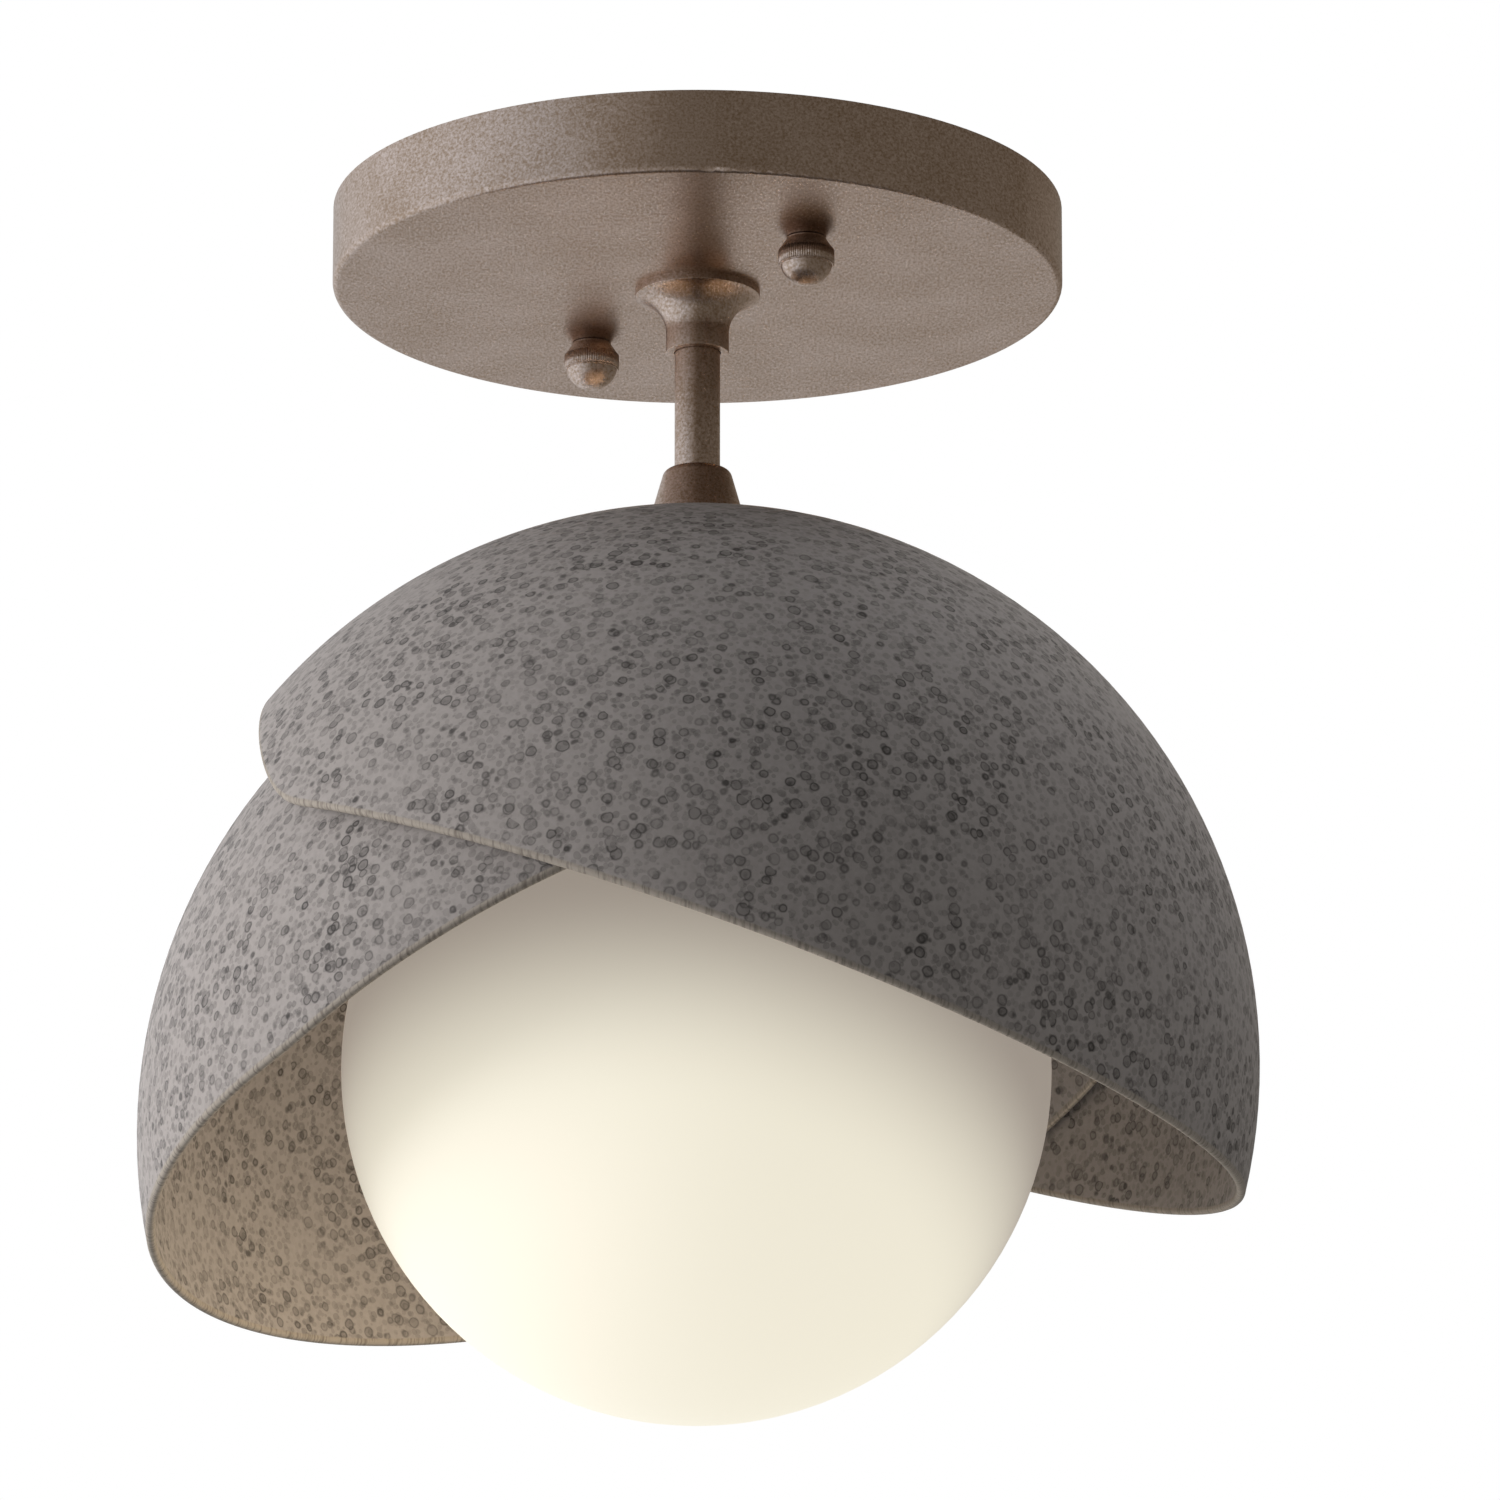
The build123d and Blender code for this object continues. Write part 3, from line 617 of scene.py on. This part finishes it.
def collarProfile(piece):
    edge = piece["top"] - piece["flange"]
    narrowing = piece["flangeRadius"] - piece["neckRadius"]
    profile = [(piece["bore"], piece["top"], 0), (piece["flangeRadius"], piece["top"], 0),
               (piece["flangeRadius"], edge, piece["rounding"])]
    for step in range(1, piece["curveSteps"] + 1):
        turn = pi / 2 * step / piece["curveSteps"]
        down = (1 - piece["slope"]) * (1 - cos(turn)) + piece["slope"] * sin(turn)
        profile.append((piece["flangeRadius"] - narrowing * sin(turn),
                        edge - (edge - piece["curveEnd"]) * down, 0))
    return rounded(profile + [(piece["neckRadius"], piece["bottom"], piece["rounding"]),
                              (piece["bore"], piece["bottom"], piece["rounding"])])


keep("collar", turnedMesh("collar", collarProfile(collar)), "light", bronze,
     "stem_collar")
print("collar made")


# Threaded pieces: a turned core with a ridge that climbs round it. Sizes in mm.
stud = {"place": ballNut["place"], "top": -1.9, "bottom": -23.1, "core": 1.72, "rounding": 0.15,
        "chamfer": 0.5, "around": 32, "ridge": 0.27, "pitch": 0.7, "out": 1.73,
        "threadTop": -2.2, "threadBottom": -22.7, "stepsPerTurn": 20}
bulbBase = {"top": -98.9, "bottom": -122.0, "core": 12.1, "topRounding": 1.0,
            "lowRounding": 0.6, "around": 96, "ridge": 1.0, "pitch": 3.6, "out": 12.1,
            "threadTop": -100.4, "threadBottom": -119.6, "stepsPerTurn": 72}


def threadTree():
    # A round ridge climbs in a spiral round the base mesh
    tree, given, result = newTree("thread", {
        "Turns": 5.0, "Out": 0.002, "Climb": 0.01, "Foot": 0.0, "Ridge": 0.0003, "Steps": 24,
        "Material": None})
    path = add(tree, "GeometryNodeCurveSpiral", {
        "Resolution": given["Steps"], "Rotations": given["Turns"], "Start Radius": given["Out"],
        "End Radius": given["Out"], "Height": given["Climb"]})
    section = add(tree, "GeometryNodeCurvePrimitiveCircle", {"Resolution": 8,
                                                             "Radius": given["Ridge"]})
    ridge = add(tree, "GeometryNodeCurveToMesh", {
        "Curve": path, "Profile Curve": section.outputs["Curve"], "Fill Caps": True})
    foot = add(tree, "ShaderNodeCombineXYZ", {"Z": given["Foot"]})
    joinBase(tree, given, ridge, foot, result)
    return tree


def threaded(name, piece, corners, material, tree):
    climb = piece["threadTop"] - piece["threadBottom"]
    core = turnedMesh(name + "Core", rounded(corners, 3), piece["around"])
    return grown(name, tree, {
        "Turns": climb / piece["pitch"], "Out": piece["out"] * mm, "Climb": climb * mm,
        "Foot": piece["threadBottom"] * mm, "Ridge": piece["ridge"] * mm,
        "Steps": piece["stepsPerTurn"], "Material": material}, core)


tree = threadTree()
for side, name in ((1, "front"), (-1, "rear")):
    mesh = threaded(name + "Stud", stud, [
        (0, stud["top"], 0), (stud["core"], stud["top"], stud["rounding"]),
        (stud["core"], stud["bottom"] + stud["chamfer"], 0),
        (stud["core"] - stud["chamfer"], stud["bottom"], 0), (0, stud["bottom"], 0)], zinc, tree)
    mesh.transform(atPlace(side, stud["place"]))
    keep(name + "Stud", mesh, "swivel_bar", zinc, "stud_" + name)
mesh = threaded("bulbBase", bulbBase, [
    (0, bulbBase["top"], 0), (bulbBase["core"], bulbBase["top"], bulbBase["topRounding"]),
    (bulbBase["core"], bulbBase["bottom"], bulbBase["lowRounding"]),
    (0, bulbBase["bottom"], 0)], rolledNickel, tree)
keep("bulbBase", mesh, "bulb", rolledNickel, "bulb_base")
print("threads made")


# Studio: a broad soft light from the left, weaker ones from above and behind, a pale floor far
# below and a white background. Places and sizes in metres.
lamps = {
    "keyLight": {"place": (-2.4, -0.3, 0.0), "aim": (0, 0, -0.12), "size": (1.4, 1.4),
                 "power": 92.0, "colour": "#fffdfb"},
    "topLight": {"place": (0.9, 0.5, 1.4), "aim": (0, 0, -0.12), "size": (1.2, 1.2),
                 "power": 18.0, "colour": "#ffffff"},
    "backLight": {"place": (0.3, 1.4, 0.5), "aim": (0, 0, -0.12), "size": (0.8, 0.8),
                  "power": 9.0, "colour": "#fff6e8"},
}
# A warm beam from behind onto the dome, through the gap under the canopy: the metal mirrors it
gapBeam = {"place": (0.0, 1.22, 0.44), "aim": (0, 0.0, -0.066), "cone": 5.6, "edge": 0.6,
           "power": 520.0, "colour": "#ffe2b8", "radius": 0.06}
# What the glowing ball sheds on the insides of the shades: a lamp nearly as large as the ball
ballGlow = {"place": (-0.004, 0.004, -0.192), "radius": 0.062, "power": 0.52,
            "colour": "#ffe9c6"}
# Metal mirrors two soft walls instead of the lamps: the way to each, where it starts and how
# bright it is. The dim part is warmer than the walls, which have their full tint at tintFull.
studio = {
    "plain": 0.3, "dim": 0.23, "dimTint": "#fff4e2", "wallTint": "#f1f8ff", "tintFull": 0.8,
    "walls": [((-0.96, 0.2, -0.2), -0.12, 1.08), ((0.0, 0.95, -0.3), 0.3, 0.1)],
    "floorLevel": -2.6, "floorSize": 60.0, "floor": "#ece9e4", "floorGlow": 0.35,
}
view = {"place": (0.0, -2.097, -0.7258), "aim": (0.0104, -0.0049, -0.1129), "lens": 267.1,
        "sensor": 36.0, "farEnd": 200.0}


def addLamp(name, kind, lamp):
    light = bpy.data.lights.new(name, kind)
    light.energy = lamp["power"]
    light.color = linear(lamp["colour"])[:3]
    holder = bpy.data.objects.new(name, light)
    bpy.context.scene.collection.objects.link(holder)
    holder.location = lamp["place"]
    if "aim" in lamp:
        holder.rotation_euler = turned(lamp["place"], lamp["aim"])
    holder.visible_glossy = False
    return holder, light


def turned(place, aim):
    return (Vector(aim) - Vector(place)).to_track_quat("-Z", "Y").to_euler()


for name, lamp in lamps.items():
    holder, light = addLamp(name, "AREA", lamp)
    light.shape = "RECTANGLE"
    light.size, light.size_y = lamp["size"]
holder, light = addLamp("gapBeam", "SPOT", gapBeam)
light.spot_size = radians(gapBeam["cone"])
light.spot_blend = gapBeam["edge"]
light.shadow_soft_size = gapBeam["radius"]
holder, light = addLamp("ballGlow", "POINT", ballGlow)
light.shadow_soft_size = ballGlow["radius"]
light.use_soft_falloff = False
holder.visible_camera = False
litByBall = bpy.data.collections.new("litByBall")
for name in ("outerShade", "innerShade"):
    litByBall.objects.link(bpy.data.objects[name])
holder.light_linking.receiver_collection = litByBall
holder.light_linking.blocker_collection = litByBall

# The background is white to the camera, plain to matte surfaces, and has walls to the metal
world = bpy.data.worlds.new("studio")
world.use_nodes = True
bpy.context.scene.world = world
tree = world.node_tree
towards = add(tree, "ShaderNodeTexCoord").outputs["Generated"]
mirrored = studio["dim"]
for way, start, gain in studio["walls"]:
    side = add(tree, "ShaderNodeVectorMath", {0: towards, 1: way}, operation="DOT_PRODUCT")
    wall = add(tree, "ShaderNodeMapRange", {"Value": side.outputs["Value"], "From Min": start,
                                            "To Max": gain})
    mirrored = add(tree, "ShaderNodeMath", {0: mirrored, 1: wall}, operation="ADD")
rays = add(tree, "ShaderNodeLightPath")
bright = add(tree, "ShaderNodeMapRange", {"Value": mirrored, "From Min": studio["dim"],
                                          "From Max": studio["tintFull"]})
tint = add(tree, "ShaderNodeMix", {0: bright, 6: linear(studio["dimTint"]),
                                   7: linear(studio["wallTint"])}, data_type="RGBA")
colour = add(tree, "ShaderNodeMix", {0: rays.outputs["Is Glossy Ray"], 6: (1, 1, 1, 1),
                                     7: tint.outputs[2]}, data_type="RGBA")
level = add(tree, "ShaderNodeMix", {0: rays.outputs["Is Glossy Ray"], 2: studio["plain"],
                                    3: mirrored})
level = add(tree, "ShaderNodeMix", {0: rays.outputs["Is Camera Ray"], 2: level, 3: 1.0})
tree.links.new(level.outputs[0], tree.nodes["Background"].inputs["Strength"])
tree.links.new(colour.outputs[2], tree.nodes["Background"].inputs["Color"])

half = studio["floorSize"] / 2
floorMesh = bpy.data.meshes.new("floor")
floorMesh.from_pydata([(x * half, y * half, studio["floorLevel"])
                       for x, y in ((-1, -1), (1, -1), (1, 1), (-1, 1))], [], [(0, 1, 2, 3)])
floor = bpy.data.objects.new("floor", floorMesh)
bpy.context.scene.collection.objects.link(floor)
floor.visible_glossy = False
# Matte painted floor, pale; from below it isn't there, so that a low camera sees the light
material, tree, shader, place = newMaterial("paleFloorPaint", {
    "Base Color": linear(studio["floor"]), "Roughness": 0.9,
    "Emission Color": linear(studio["floor"])})
seen = add(tree, "ShaderNodeLightPath").outputs["Is Camera Ray"]
glow = add(tree, "ShaderNodeMath", {0: seen, 1: studio["floorGlow"]}, operation="MULTIPLY")
tree.links.new(glow.outputs[0], shader.inputs["Emission Strength"])
below = add(tree, "ShaderNodeNewGeometry").outputs["Backfacing"]
gone = add(tree, "ShaderNodeBsdfTransparent")
either = add(tree, "ShaderNodeMixShader", {0: below, 1: shader, 2: gone})
tree.links.new(either.outputs[0], tree.nodes["Material Output"].inputs["Surface"])
floorMesh.materials.append(material)

camera = bpy.data.objects.new("camera", bpy.data.cameras.new("camera"))
bpy.context.scene.collection.objects.link(camera)
camera.location = view["place"]
camera.rotation_euler = turned(view["place"], view["aim"])
camera.data.lens = view["lens"]
camera.data.sensor_width = view["sensor"]
camera.data.clip_end = view["farEnd"]
bpy.context.scene.camera = camera
bpy.context.scene.view_settings.view_transform = "Standard"
print("stage set")
